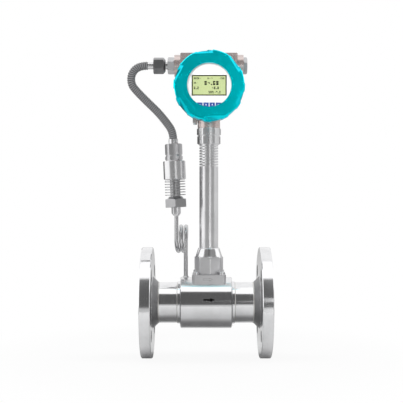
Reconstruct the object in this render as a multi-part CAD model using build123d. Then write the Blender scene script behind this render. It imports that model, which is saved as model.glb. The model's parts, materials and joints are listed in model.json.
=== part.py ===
from build123d import *
import math
import os

# A vortex flow meter for a 50 mm pipe, with a display head on a finned stem and a
# pressure sensor on a siphon tube. Millimetres, +Z up. The origin is the centre of
# the inlet's raised face and the pipe axis is the X axis, with the flow along +X.

# Clearances between pieces
weld_gap = 0.05
fit_gap = 0.05
thread_gap = 0.1
running_gap = 0.3

# Flow tube
face_to_face = 195.0
flange_od = 165.0
flange_rim = 16.0
flange_edge = 1.0
raised_face_od = 102.0
raised_face_height = 2.0
bolt_edge_distance = 20.0
bolt_circle = flange_od - 2 * bolt_edge_distance
bolt_hole = 18.0
bolt_count = 4
hub_base_od = 78.0
hub_length = 9.0
pipe_od = 60.3
pipe_bore = 52.3
body_od = 76.0
body_length = 77.0
body_bore = 50.0
body_edge = 1.5
weld_collar_od = 62.6
weld_collar_length = 3.6
bore_taper_length = 4.0

# Shedder bar across the bore
bar_front_width = 14.0
bar_back_width = 5.0
bar_length = 15.0
bar_upstream_offset = 23.0
bar_socket_depth = 5.0

# Base plate, sensing probe and eight-sided stem foot
stem_offset = 4.2
plate_side = 50.0
plate_corner = 4.5
plate_top = 42.8
plate_lip = 26.8
screw_inset = 6.0
screw_spacing = plate_side - 2 * screw_inset
screw_hole = 5.5
screw_shank = 4.9
screw_head_od = 8.5
screw_head_height = 5.0
screw_socket = 4.0
screw_socket_depth = 2.6
screw_length = 20.0
seat_bore = 25.0
seat_height = 34.0
gasket_thickness = 1.5
gasket_bore = 17.0
probe_flange_thickness = 5.5
probe_hole = 16.0
probe_tip_length = 4.0
blade_thickness = 3.0
blade_width = 12.0
blade_reach = 12.0
foot_sides = 8
foot_flats = 39.7
foot_turn = 4.8
foot_straight = 26.2
foot_cone_height = 12.7
foot_cone_top_od = 31.6
foot_bore = 12.0
foot_edge = 0.8

# Finned stem and its two nuts
stem_od = 28.0
stem_lower_bore = 20.0
stem_plain_length = 121.9
fin_count = 8
fin_pitch = 4.05
fin_thickness = 2.5
fin_core_od = 18.0
stem_neck_bore = 12.0
stem_thread_od = 20.0
lower_nut_flats = 30.0
lower_nut_height = 13.4
upper_nut_flats = 31.0
nut_bevel_angle = 30.0

# Display head, its axis along Y
head_height = 317.0
barrel_od = 95.0
barrel_front = 40.7
barrel_shoulder = 9.0
rear_barrel_od = 81.0
rear_barrel_shoulder = 17.0
rear_barrel_back = 30.0
barrel_wall = 5.2
chamber_bore = barrel_od - 2 * barrel_wall
rear_chamber_bore = rear_barrel_od - 2 * barrel_wall
web_front = 8.0
web_thickness = 4.0
seal_seat_wall = 2.3
seal_seat_depth = 2.5
block_width = 84.4
block_rise = 6.0
block_top = barrel_od / 2 + block_rise
block_bottom = 18.0
block_depth = 37.0
block_corner = 1.5
entry_drop = 16.5
entry_rise = block_top - entry_drop
collar_od = 32.5
collar_reach = 51.4
entry_bore = 20.0
entry_bore_end = 14.0
neck_od = 33.5
neck_length = 8.8
neck_bottom = barrel_od / 2 + neck_length
web_hole = 12.0
web_hole_rise = 30.0
ground_boss_x = 20.6
ground_boss_width = 7.0
ground_boss_depth = 12.0
ground_boss_drop = 0.7
ground_boss_bottom = barrel_od / 2 + ground_boss_drop
ground_head_od = 5.6
ground_head_height = 2.2
ground_washer_od = 6.4
ground_washer_thickness = 0.8
ground_shank = 3.0
ground_shank_length = 8.0

# Screwed covers with lugs round the rim
cover_overhang = 2.7
cover_rim_od = barrel_od + 2 * cover_overhang
cover_front = 68.0
cover_edge = 1.2
cover_wall = 3.0
cover_skirt_length = 11.0
cover_skirt_wall = 4.0
cover_cavity_floor = 53.0
rear_cover_overhang = 1.0
rear_cover_rim_od = rear_barrel_od + 2 * rear_cover_overhang
rear_cover_back = 48.0
lug_count = 12
lug_height = 1.1
lug_width = 11.5
lug_setback = 7.0
lug_edge = 1.0
lug_start_angle = 87.0
grip_count = 6
grip_start_angle = 84.0
grip_depth_share = 0.1
grip_rise = 11.0
grip_length = 40.0
grip_slant = 8.4
window_opening = 63.0
window_rebate = 70.8
window_gasket_thickness = 1.0
glass_thickness = 8.0
window_ring_thickness = 3.0
window_ring_bore = 66.0
ring_notch = 3.0
seal_section = 2.0
blind_wall = 4.0

# Display module behind the window
display_face = 52.0
face_plate_gap = 0.6
face_plate_od = chamber_bore - 2 * (running_gap + cover_skirt_wall + face_plate_gap)
face_plate_wall = 1.5
face_plate_thickness = 2.0
face_plate_depth = 10.0
lcd_width = 50.3
lcd_height = 29.7
lcd_rise = 1.0
lcd_frame_width = 1.7
lcd_glass_recess = 0.6
key_width = 7.0
key_height = 6.0
key_pitch = 8.9
key_drop = 27.0
key_count = 4
key_proud = 0.8
key_travel = 0.5
key_flange = 0.5
key_flange_thickness = 0.8
key_stem_od = 3.0
switch_side = 6.0
switch_height = 3.0
board_thickness = 1.6
display_board_gap = 0.4
display_board_od = face_plate_od - 2 * (face_plate_wall + display_board_gap)
main_board_gap = 4.3
main_board_od = chamber_bore - 2 * main_board_gap
main_board_front = 10.0
post_flats = 6.0
post_circle = 58.0
post_count = 3

# Terminals in the rear compartment
terminal_width = 46.0
terminal_height = 14.0
terminal_depth = 12.0
terminal_count = 6
terminal_pitch = 7.0
terminal_screw_od = 5.0
terminal_screw_height = 1.6
terminal_slot = 0.8
terminal_recess = 1.0

# Cable entries of the head
adapter_flats = 22.0
adapter_turn = -9.0
adapter_head = 10.0
entry_thread_length = 12.0
adapter_neck_od = 11.0
adapter_neck_length = 3.3
cable_bore = 8.0
plug_flats = 22.0
plug_head = 5.7
plug_turn = 17.0
plug_socket = 10.0
plug_socket_depth = 3.0
upper_conduit_nut_flats = 22.0
upper_conduit_nut_height = 18.0
upper_conduit_nut_turn = 7.0
upper_conduit_nut_mouth = 17.0
upper_conduit_nut_cone = 3.4
upper_ferrule_od = 10.5
upper_ferrule_length = 8.8

# Pressure sensor, counted upwards along its own leaning axis
sensor_lean = 2.38
sensor_foot_height = 129.6
tube_fitting_flats = 12.0
tube_fitting_height = 12.7
tube_fitting_taper = 4.0
process_hex_flats = 30.5
process_hex_height = 12.8
process_hex_turn = 30.0
cone_washer_height = 3.4
cone_washer_od = 26.0
cone_washer_top_od = 19.0
cooler_length = 24.8
cooler_core_od = 15.0
cooler_fin_od = 30.5
cooler_fin_thickness = 1.3
cooler_fin_pitch = 4.0
cooler_fin_count = 6
cooler_bore = 6.0
can_od = 33.0
can_height = 28.7
can_wall = 2.5
can_bevel = 1.6
cell_od = 19.0
cell_height = 9.0
locknut_flats = 22.6
locknut_height = 8.2
locknut_turn = 2.0
locknut_bevel_angle = 50.0
top_nut_flats = 22.4
top_nut_height = 17.0
top_nut_turn = 0.0
lower_ferrule_od = 14.0
lower_ferrule_length = 7.2
coupling_od = 12.0

# Siphon tube from the body's tap up to the sensor
tap_offset = -30.3
tube_od = 6.0
tube_bore = 4.0
coil_radius = 18.7
coil_centre_height = 94.6
coil_pitch = 7.0
coil_yaw = 4.5
coil_turns = 2
coil_corners = 8
arc_share = 0.48
tap_hole_height = 32.0
tube_grip = 8.0
bead_od = 9.6
bead_height = 1.8

# Armoured conduit from the head's left entry down to the sensor
conduit_od = 12.5
run_share = 0.45
conduit_first_run = 13.0
conduit_last_run = 11.5

# Places that follow from the sizes above
mid_x = face_to_face / 2
pipe_start = raised_face_height + flange_rim + hub_length
body_start = mid_x - body_length / 2
collar_start = body_start - weld_collar_length
stem_x = mid_x + stem_offset
tap_x = mid_x + tap_offset
foot_top = plate_top + foot_straight + foot_cone_height
fins_start = foot_top + stem_plain_length
housing_bottom = head_height - neck_bottom
stem_thread_top = head_height - chamber_bore / 2
glass_front = cover_front - cover_wall - window_gasket_thickness
glass_back = glass_front - glass_thickness
display_board_front = display_face - face_plate_depth + board_thickness
switch_front = display_board_front + switch_height
ferrule_x = stem_x - collar_reach - adapter_head - adapter_neck_length - upper_conduit_nut_height
conduit_start_x = ferrule_x - upper_ferrule_length
entry_z = head_height + entry_rise
hex_base = tube_fitting_height
washer_base = hex_base + process_hex_height
neck_base = washer_base + cone_washer_height
can_base = neck_base + cooler_length
locknut_base = can_base + can_height
top_nut_base = locknut_base + locknut_height
lower_ferrule_base = top_nut_base + top_nut_height
conduit_end_height = lower_ferrule_base + lower_ferrule_length
sensor_foot_x = tap_x - coil_turns * coil_pitch
head = Pos(stem_x, 0, head_height)
stem = Pos(stem_x, 0, 0)
sensor = Pos(sensor_foot_x, 0, sensor_foot_height) * Rot(0, -sensor_lean, 0)


def turned(points):
    """Solid turned about the Z axis from the (radius, height) corners of half a section."""
    return revolve(make_face(Plane.XZ * Polyline(*points, close=True)), Axis.Z)


def turned_on_pipe(points):
    """Solid turned about the pipe axis from (x, radius) corners."""
    return revolve(make_face(Plane.XZ * Polyline(*points, close=True)), Axis.X)


def turned_on_head(points):
    """Solid turned about the head's axis from (radius, distance to the front) corners."""
    front_facing = [(radius, -distance) for radius, distance in points]
    return revolve(make_face(Polyline(*front_facing, close=True)), Axis.Y)


def at_each(places, shape):
    """Copies of a shape, one at each place, as one group."""
    return Part() + [place * shape for place in places]


def bar_up(radius, low, high):
    """Round bar about the Z axis between two heights."""
    return Pos(0, 0, (low + high) / 2) * Cylinder(radius, high - low)


def bar_forward(radius, back, front):
    """Round bar about the Y axis between two distances to the front of the head's axis."""
    return Pos(0, -(back + front) / 2, 0) * Rot(90, 0, 0) * Cylinder(radius, front - back)


def block_forward(width, height, back, front):
    """Rectangular block centred on the Y axis between two distances to the front."""
    return Pos(0, -(back + front) / 2, 0) * Box(width, front - back, height)


def hex_up(across_flats, low, high, turn=0.0):
    """Six-sided bar about the Z axis, with a flat facing -Y when turn is 0."""
    return flats_up(across_flats, low, high, 6, turn)


def flats_up(across_flats, low, high, sides, turn):
    """Bar with flat sides about the Z axis, with a corner towards +X when turn is 0."""
    section = RegularPolygon(across_flats / 2, sides, major_radius=False, rotation=turn)
    return Pos(0, 0, low) * extrude(section, high - low)


def bevelled_hex(across_flats, low, high, turn=0.0, bevel_angle=nut_bevel_angle):
    """Six-sided bar with its corners bevelled at both ends, as on a nut."""
    corner = across_flats / math.sqrt(3)
    flat = across_flats / 2
    drop = (corner - flat) * math.tan(math.radians(bevel_angle))
    blank = turned([
        (0, low), (flat, low), (corner, low + drop),
        (corner, high - drop), (flat, high), (0, high),
    ])
    return hex_up(across_flats, low, high, turn) & blank


# Flow tube


def make_flange():
    """Inlet flange: raised face, rim with bolt holes and a short tapered hub."""
    bore = pipe_bore / 2
    rim_back = raised_face_height + flange_rim
    flange = turned_on_pipe([
        (0, bore), (0, raised_face_od / 2), (raised_face_height, raised_face_od / 2),
        (raised_face_height, flange_od / 2 - flange_edge),
        (raised_face_height + flange_edge, flange_od / 2),
        (rim_back - flange_edge, flange_od / 2), (rim_back, flange_od / 2 - flange_edge),
        (rim_back, hub_base_od / 2), (pipe_start, pipe_od / 2), (pipe_start, bore),
    ])
    holes = PolarLocations(bolt_circle / 2, bolt_count, start_angle=180 / bolt_count)
    drill = Cylinder(bolt_hole / 2, 4 * flange_rim)
    return flange - Rot(0, 90, 0) * at_each(holes, drill)


def make_pipe():
    """Inlet pipe between the flange's hub and the body."""
    return turned_on_pipe([
        (pipe_start, pipe_bore / 2), (pipe_start, pipe_od / 2),
        (collar_start, pipe_od / 2), (collar_start, pipe_bore / 2),
    ])


def bar_section(gap):
    """Section of the shedder bar seen from above, its wide face upstream."""
    front_x = mid_x - bar_upstream_offset
    back_x = front_x + bar_length
    return make_face(Polyline(
        (front_x - gap, -bar_front_width / 2 - gap), (front_x - gap, bar_front_width / 2 + gap),
        (back_x + gap, bar_back_width / 2 + gap), (back_x + gap, -bar_back_width / 2 - gap),
        close=True,
    ))


def make_shedder_bar():
    """Trapezoidal bar right across the bore, its ends let into the body."""
    half = body_bore / 2 + bar_socket_depth
    return Pos(0, 0, -half) * extrude(bar_section(0), 2 * half)


def make_body():
    """Turned meter body with the bar's sockets, the probe's seat, tapped holes and the tap."""
    outer = body_od / 2
    neck = weld_collar_od / 2
    body_end = body_start + body_length
    collar_end = body_end + weld_collar_length
    body = turned_on_pipe([
        (collar_start, pipe_bore / 2), (collar_start, neck), (body_start, neck),
        (body_start, outer - body_edge), (body_start + body_edge, outer),
        (body_end - body_edge, outer), (body_end, outer - body_edge), (body_end, neck),
        (collar_end, neck), (collar_end, pipe_bore / 2),
        (collar_end - bore_taper_length, body_bore / 2),
        (collar_start + bore_taper_length, body_bore / 2),
    ])
    half_socket = body_bore / 2 + bar_socket_depth + fit_gap
    body -= Pos(0, 0, -half_socket) * extrude(bar_section(fit_gap), 2 * half_socket)
    body -= stem * bar_up(probe_hole / 2, 0, outer)
    body -= stem * bar_up(seat_bore / 2, seat_height, body_od)
    tapped = GridLocations(screw_spacing, screw_spacing, 2, 2)
    thread_bottom = plate_top - screw_length - 1
    body -= stem * at_each(tapped, bar_up(screw_shank / 2 + fit_gap, thread_bottom, outer))
    body -= Pos(tap_x, 0, 0) * bar_up(tube_bore / 2, 0, outer)
    body -= Pos(tap_x, 0, 0) * bar_up(tube_od / 2 + fit_gap, tap_hole_height, body_od)
    return body


# Stem foot and probe


def make_base_plate():
    """Square plate saddled on the body, drilled for the probe and four screws."""
    blank = Pos(0, 0, plate_lip) * extrude(
        RectangleRounded(plate_side, plate_side, plate_corner), plate_top - plate_lip)
    saddle = Rot(0, 90, 0) * Cylinder(body_od / 2 + weld_gap, 2 * plate_side)
    plate = blank - saddle - bar_up(seat_bore / 2, 0, 2 * plate_top)
    holes = GridLocations(screw_spacing, screw_spacing, 2, 2)
    return stem * (plate - at_each(holes, bar_up(screw_hole / 2, 0, 2 * plate_top)))


def make_foot_screws():
    """Four socket-head screws that hold the base plate down."""
    head_top = plate_top + screw_head_height
    screw = turned([
        (0, plate_top - screw_length), (screw_shank / 2, plate_top - screw_length),
        (screw_shank / 2, plate_top), (screw_head_od / 2, plate_top),
        (screw_head_od / 2, head_top - foot_edge), (screw_head_od / 2 - foot_edge, head_top),
        (0, head_top),
    ])
    screw -= hex_up(screw_socket, head_top - screw_socket_depth, head_top)
    return stem * at_each(GridLocations(screw_spacing, screw_spacing, 2, 2), screw)


def make_probe_gasket():
    """Flat gasket under the probe's flange."""
    ring = bar_up(seat_bore / 2 - fit_gap, seat_height, seat_height + gasket_thickness)
    return stem * (ring - bar_up(gasket_bore / 2, 0, plate_top))


def make_sensor_probe():
    """Probe with a clamped flange and a thin blade that stands in the flow."""
    flange_low = seat_height + gasket_thickness
    shank_low = body_bore / 2 - probe_tip_length / 2
    probe = bar_up(seat_bore / 2 - fit_gap, flange_low, flange_low + probe_flange_thickness)
    probe += bar_up(probe_hole / 2 - thread_gap, shank_low, flange_low)
    blade_height = shank_low + blade_reach
    blade = Pos(0, 0, shank_low - blade_height / 2) * Box(blade_width, blade_thickness, blade_height)
    tip = Pos(0, 0, -blade_reach) * Rot(90, 0, 0) * Cylinder(blade_width / 2, blade_thickness)
    return stem * (probe + blade + tip)


def make_stem_foot():
    """Eight-sided foot with bevelled corners, a cone on it and a spigot down into the plate."""
    shoulder = plate_top + foot_straight
    flat = foot_flats / 2
    corner = flat / math.cos(math.pi / foot_sides)
    drop = (corner - flat) * math.tan(math.radians(nut_bevel_angle))
    blank = turned([
        (0, plate_top), (corner, plate_top), (corner, shoulder - drop), (flat, shoulder),
        (foot_cone_top_od / 2, foot_top), (0, foot_top),
    ])
    foot = flats_up(foot_flats, plate_top, foot_top, foot_sides, foot_turn) & blank
    upright = foot.edges().filter_by(Axis.Z).filter_by(lambda edge: edge.length > foot_straight / 2)
    foot = fillet(upright, foot_edge)
    spigot_low = seat_height + gasket_thickness + probe_flange_thickness
    foot += bar_up(seat_bore / 2 - fit_gap, spigot_low, plate_top)
    return stem * (foot - bar_up(foot_bore / 2, 0, 2 * foot_top))


# Finned stem


def make_stem_tube():
    """Hollow stem, turned down to a core with cooling fins, with a threaded top."""
    outer = stem_od / 2
    core = fin_core_od / 2
    points = [(stem_lower_bore / 2, foot_top), (outer, foot_top), (outer, fins_start)]
    for index in range(fin_count):
        low = fins_start + index * fin_pitch
        points += [(core, low), (core, low + fin_pitch - fin_thickness)]
        points += [(outer, low + fin_pitch - fin_thickness), (outer, low + fin_pitch)]
    top = fins_start + fin_count * fin_pitch
    points += [(stem_thread_od / 2, top), (stem_thread_od / 2, stem_thread_top)]
    bore_top = fins_start - stem_od / 2
    points += [(stem_neck_bore / 2, stem_thread_top), (stem_neck_bore / 2, bore_top)]
    points += [(stem_lower_bore / 2, bore_top)]
    return stem * turned(points)


def make_stem_nut(across_flats, low, high):
    """Hexagonal nut on the stem's thread."""
    nut = bevelled_hex(across_flats, low, high)
    return stem * (nut - bar_up(stem_thread_od / 2 + thread_gap, low - 1, high + 1))


# Display head


def make_housing():
    """Two-chamber housing: stepped barrel, cross block with cable entries, neck and earth boss."""
    seat_radius = chamber_bore / 2 + seal_seat_wall
    rear_seat_radius = rear_chamber_bore / 2 + seal_seat_wall
    seat_start = barrel_front - seal_seat_depth
    rear_seat_start = rear_barrel_back - seal_seat_depth
    barrel = turned_on_head([
        (0, barrel_front), (barrel_od / 2, barrel_front), (barrel_od / 2, -barrel_shoulder),
        (rear_barrel_od / 2, -rear_barrel_shoulder), (rear_barrel_od / 2, -rear_barrel_back),
        (0, -rear_barrel_back),
    ])
    block_height = block_top - block_bottom
    block = Pos(0, 0, (block_top + block_bottom) / 2) * Box(block_width, block_depth, block_height)
    block = fillet(block.edges().filter_by(Axis.Y).group_by(Axis.Z)[-1], block_corner)
    collars = Pos(0, 0, entry_rise) * Rot(0, 90, 0) * Cylinder(collar_od / 2, 2 * collar_reach)
    neck = bar_up(neck_od / 2, -neck_bottom, 0)
    boss_height = ground_boss_bottom - barrel_od / 4
    boss = Pos(-ground_boss_x, 0, -ground_boss_bottom + boss_height / 2)
    boss *= Box(ground_boss_width, ground_boss_depth, boss_height)
    shell = barrel + block + collars + neck + boss
    web_back = -web_front - web_thickness
    shell -= bar_forward(chamber_bore / 2, -web_front, 2 * barrel_front)
    shell -= bar_forward(rear_chamber_bore / 2, -2 * rear_barrel_back, web_back)
    shell -= bar_forward(seat_radius, seat_start, 2 * barrel_front)
    shell -= bar_forward(rear_seat_radius, -2 * rear_barrel_back, -rear_seat_start)
    entries = Rot(0, 90, 0) * Cylinder(entry_bore / 2, 4 * collar_reach)
    entries -= Box(2 * entry_bore_end, block_depth, block_depth)
    shell -= Pos(0, 0, entry_rise) * entries
    shell -= bar_up(stem_thread_od / 2 + thread_gap, -2 * neck_bottom, -chamber_bore / 2)
    shell -= Pos(0, 0, web_hole_rise) * bar_forward(web_hole / 2, 2 * web_back, web_front)
    screw_hole_top = -ground_boss_bottom + ground_shank_length
    drill = bar_up(ground_shank / 2 + fit_gap, -neck_bottom, screw_hole_top)
    return head * (shell - Pos(-ground_boss_x, 0, 0) * drill)


def make_ground_screw():
    """Earth screw with its washer, pointing up into the boss under the barrel."""
    washer_low = -ground_boss_bottom - ground_washer_thickness
    head_low = washer_low - ground_head_height
    screw = turned([
        (0, head_low), (ground_head_od / 2, head_low), (ground_head_od / 2, washer_low),
        (ground_washer_od / 2, washer_low), (ground_washer_od / 2, -ground_boss_bottom),
        (ground_shank / 2, -ground_boss_bottom),
        (ground_shank / 2, -ground_boss_bottom + ground_shank_length - 1),
        (0, -ground_boss_bottom + ground_shank_length - 1),
    ])
    slot = Pos(0, 0, head_low) * Box(2 * ground_head_od, terminal_slot, ground_head_height)
    return head * Pos(-ground_boss_x, 0, 0) * (screw - slot)


def cover_blank(section, rim_radius, front, back):
    """Screwed cover: the turned section with lugs round the rim and six slanting grips."""
    lug_front = front - lug_setback
    lug_radius = rim_radius + lug_height
    lug = Pos(lug_radius / 2, -(lug_front + back) / 2, 0)
    lug *= Box(lug_radius, lug_front - back, lug_width)
    lug = chamfer(lug.faces().sort_by(Axis.X)[-1].edges(), lug_edge)
    lug -= bar_forward(rim_radius - lug_edge, 0, 2 * front)
    cover = turned_on_head(section)
    for index in range(lug_count):
        cover += Rot(0, -(lug_start_angle + index * 360 / lug_count), 0) * lug
    depth = grip_depth_share * rim_radius
    reach = lug_height + depth
    drop = grip_rise * reach / depth
    wedge = make_face(Polyline(
        (rim_radius - depth, -front), (rim_radius + lug_height, -front + drop),
        (rim_radius + reach, -front + drop), (rim_radius + reach, -front - 1),
        (rim_radius - depth, -front - 1), close=True,
    ))
    slant = Pos(rim_radius, 0, 0) * Rot(0, -grip_slant, 0) * Pos(-rim_radius, 0, 0)
    grip = slant * extrude(wedge, grip_length)
    for index in range(grip_count):
        cover -= Rot(0, -(grip_start_angle + index * 360 / grip_count), 0) * grip
    return cover


def make_front_cover():
    """Front cover with the window's opening, its rebate and a threaded skirt."""
    rim = cover_rim_od / 2
    back = barrel_front + running_gap
    skirt_back = back - cover_skirt_length
    skirt = chamber_bore / 2 - running_gap
    hollow = skirt - cover_skirt_wall
    return head * cover_blank([
        (window_opening / 2, cover_front), (rim - cover_edge, cover_front),
        (rim, cover_front - cover_edge), (rim, back), (skirt, back), (skirt, skirt_back),
        (hollow, skirt_back), (hollow, cover_cavity_floor),
        (window_rebate / 2, cover_cavity_floor), (window_rebate / 2, cover_front - cover_wall),
        (window_opening / 2, cover_front - cover_wall),
    ], rim, cover_front, back)


def make_rear_cover():
    """Smaller blind cover of the rear chamber, with the same lugs and grips."""
    rim = rear_cover_rim_od / 2
    back = rear_barrel_back + running_gap
    skirt_back = back - cover_skirt_length
    skirt = rear_chamber_bore / 2 - running_gap
    hollow = skirt - cover_skirt_wall
    blank = cover_blank([
        (0, rear_cover_back), (rim - cover_edge, rear_cover_back),
        (rim, rear_cover_back - cover_edge), (rim, back), (skirt, back), (skirt, skirt_back),
        (hollow, skirt_back), (hollow, rear_cover_back - blind_wall),
        (0, rear_cover_back - blind_wall),
    ], rim, rear_cover_back, back)
    return head * Rot(0, 0, 180) * blank


def make_seal(bore, mouth):
    """O-ring between a cover's skirt and its seat in the housing's mouth."""
    centre_radius = bore / 2 + seal_section / 2
    centre_front = mouth - seal_seat_depth + running_gap + seal_section / 2
    return Pos(0, -centre_front, 0) * Rot(90, 0, 0) * Torus(centre_radius, seal_section / 2)


def make_window_gasket():
    """Flat gasket between the cover and the glass."""
    ring = bar_forward(window_rebate / 2 - thread_gap, glass_front, cover_front - cover_wall)
    return head * (ring - bar_forward(window_opening / 2, 0, 2 * cover_front))


def make_window_glass():
    """Thick round glass of the window."""
    return head * bar_forward(window_rebate / 2 - thread_gap, glass_back, glass_front)


def make_window_ring():
    """Screwed ring that holds the glass, with two notches for a pin wrench."""
    ring = bar_forward(window_rebate / 2 - thread_gap, glass_back - window_ring_thickness, glass_back)
    ring -= bar_forward(window_ring_bore / 2, 0, cover_front)
    notch = Pos(0, -(glass_back - window_ring_thickness), 0)
    notch *= Box(2 * window_rebate, ring_notch, ring_notch)
    return head * (ring - notch)


def key_places():
    """Centres of the keys on the display face, from left to right."""
    start = -key_pitch * (key_count - 1) / 2
    return [Pos(start + index * key_pitch, 0, -key_drop) for index in range(key_count)]


def make_face_plate():
    """Moulded cup behind the window, with openings for the display and the keys."""
    cup = bar_forward(face_plate_od / 2, display_face - face_plate_depth, display_face)
    hollow = face_plate_od / 2 - face_plate_wall
    cup -= bar_forward(hollow, 0, display_face - face_plate_thickness)
    gap = 2 * fit_gap
    opening = block_forward(lcd_width + gap, lcd_height + gap, 0, 2 * display_face)
    cup -= Pos(0, 0, lcd_rise) * opening
    gap = 2 * running_gap
    for place in key_places():
        cup -= place * block_forward(key_width + gap, key_height + gap, 0, 2 * display_face)
    return head * cup


def make_lcd_panel():
    """Display panel in its frame, standing on the display board."""
    panel = block_forward(lcd_width, lcd_height, display_board_front, display_face)
    glass_width = lcd_width - 2 * lcd_frame_width
    glass_height = lcd_height - 2 * lcd_frame_width
    recess = block_forward(glass_width, glass_height, display_face - lcd_glass_recess, 2 * display_face)
    return head * Pos(0, 0, lcd_rise) * (panel - recess)


def make_key():
    """Key cap with a rim behind the face plate and a stem towards its switch."""
    front = display_face + key_proud
    flange_front = display_face - face_plate_thickness - running_gap
    flange_back = flange_front - key_flange_thickness
    cap = block_forward(key_width, key_height, flange_back, front)
    cap = fillet(cap.edges().filter_by(Axis.Y), key_flange)
    flange = block_forward(
        key_width + 2 * key_flange, key_height + 2 * key_flange, flange_back, flange_front)
    stem_back = switch_front + key_travel + running_gap
    return cap + flange + bar_forward(key_stem_od / 2, stem_back, flange_back)


def make_key_switches():
    """Four small switches on the display board, one behind each key."""
    switch = block_forward(switch_side, switch_side, display_board_front, switch_front)
    return head * at_each(key_places(), switch)


def make_round_board(diameter, back, front):
    """Round circuit board drilled for the posts."""
    board = bar_forward(diameter / 2, back, front)
    drill = bar_forward(ground_shank / 2, back - 1, front + 1)
    for place in post_places():
        board -= place * drill
    return head * board


def post_places():
    """Centres of the posts round the head's axis, one of them straight up."""
    radius = post_circle / 2
    angles = [math.radians(90 + index * 360 / post_count) for index in range(post_count)]
    return [Pos(radius * math.cos(angle), 0, radius * math.sin(angle)) for angle in angles]


def make_posts(back, front):
    """Three six-sided posts between two distances to the front, with screw pegs at both ends."""
    section = RegularPolygon(post_flats / 2, 6, major_radius=False)
    bar = Pos(0, -back, 0) * Rot(90, 0, 0) * extrude(section, front - back)
    peg = bar_forward(ground_shank / 2 - fit_gap, front, front + board_thickness)
    return head * at_each(post_places(), bar + peg)


def make_terminal_block():
    """Terminal block on the web, facing the rear chamber, with a recess for each screw."""
    back = -web_front - web_thickness
    block = block_forward(terminal_width, terminal_height, back - terminal_depth, back)
    for place in terminal_places():
        recess = bar_forward(terminal_screw_od / 2 + fit_gap, -2 * terminal_depth,
                             terminal_recess - terminal_depth)
        block -= place * Pos(0, -back, 0) * recess
    return head * block


def terminal_places():
    """Centres of the terminals, from left to right."""
    start = -terminal_pitch * (terminal_count - 1) / 2
    return [Pos(start + index * terminal_pitch, 0, 0) for index in range(terminal_count)]


def make_terminal_screws():
    """Slotted screws of the terminals, seated in their recesses."""
    floor = terminal_depth - terminal_recess
    screw = bar_forward(terminal_screw_od / 2, -floor - terminal_screw_height, -floor)
    outer = -floor - terminal_screw_height
    screw -= Pos(0, -outer, 0) * Box(2 * terminal_screw_od, terminal_screw_height, terminal_slot)
    shift = Pos(0, web_front + web_thickness, 0)
    return head * at_each(terminal_places(), shift * screw)


# Cable entries


def entry_on_left(shape, from_axis):
    """Place a piece turned about Z so that it points to -X from the head's left entry."""
    return Pos(stem_x - from_axis, 0, entry_z) * Rot(0, -90, 0) * shape


def make_entry_adapter():
    """Threaded adapter with a hexagon and a thin neck for the conduit's nut."""
    neck_top = adapter_head + adapter_neck_length + upper_conduit_nut_height / 2
    adapter = bevelled_hex(adapter_flats, 0, adapter_head, adapter_turn)
    adapter += bar_up(entry_bore / 2 - thread_gap, -entry_thread_length, 0)
    adapter += bar_up(adapter_neck_od / 2, adapter_head, neck_top)
    adapter -= bar_up(cable_bore / 2, -2 * entry_thread_length, 2 * neck_top)
    return entry_on_left(adapter, collar_reach)


def make_upper_conduit_nut():
    """Large nut that holds the conduit to the adapter's neck, coned towards the head."""
    low = adapter_head + adapter_neck_length
    high = low + upper_conduit_nut_height
    corner = upper_conduit_nut_flats / math.sqrt(3)
    cone = turned([
        (0, low), (upper_conduit_nut_mouth / 2, low), (corner, low + upper_conduit_nut_cone),
        (corner, high), (0, high),
    ])
    nut = bevelled_hex(upper_conduit_nut_flats, low, high, upper_conduit_nut_turn) & cone
    nut -= bar_up(adapter_neck_od / 2 + thread_gap, low - 1, high + 1)
    return entry_on_left(nut, collar_reach)


def make_upper_ferrule():
    """Ferrule at the conduit's upper end, its collar inside the nut."""
    mouth = adapter_head + adapter_neck_length + upper_conduit_nut_height
    collar_low = mouth - upper_conduit_nut_height / 2
    ferrule = turned([
        (cable_bore / 2, collar_low), (adapter_neck_od / 2, collar_low),
        (adapter_neck_od / 2, mouth), (upper_ferrule_od / 2, mouth),
        (upper_ferrule_od / 2, mouth + upper_ferrule_length),
        (cable_bore / 2, mouth + upper_ferrule_length),
    ])
    return entry_on_left(ferrule, collar_reach)


def make_blanking_plug():
    """Six-sided plug that closes the right-hand entry."""
    plug = bevelled_hex(plug_flats, 0, plug_head, plug_turn)
    plug += bar_up(entry_bore / 2 - thread_gap, -entry_thread_length, 0)
    plug -= hex_up(plug_socket, plug_head - plug_socket_depth, plug_head)
    return Pos(stem_x + collar_reach, 0, entry_z) * Rot(0, 90, 0) * plug


# Pressure sensor


def make_tube_fitting():
    """Small six-sided fitting with a tapered foot that grips the siphon tube."""
    corner = tube_fitting_flats / math.sqrt(3)
    blank = turned([
        (0, 0), (tube_od / 2 + 1, 0), (corner, tube_fitting_taper),
        (corner, tube_fitting_height), (0, tube_fitting_height),
    ])
    fitting = hex_up(tube_fitting_flats, 0, tube_fitting_height) & blank
    fitting -= bar_up(tube_od / 2 + 2 * fit_gap, -1, tube_grip + fit_gap)
    return sensor * (fitting - bar_up(tube_bore / 2, 0, 2 * tube_fitting_height))


def make_process_hex():
    """Large hexagon of the sensor, drilled to the fins' neck."""
    hexagon = bevelled_hex(process_hex_flats, hex_base, washer_base, process_hex_turn)
    return sensor * (hexagon - bar_up(tube_bore / 2, 0, 2 * washer_base))


def make_cone_washer():
    """Dished washer between the hexagon and the fins."""
    washer = turned([
        (tube_bore / 2, washer_base), (cone_washer_od / 2, washer_base),
        (cone_washer_top_od / 2, neck_base), (tube_bore / 2, neck_base),
    ])
    return sensor * washer


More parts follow.
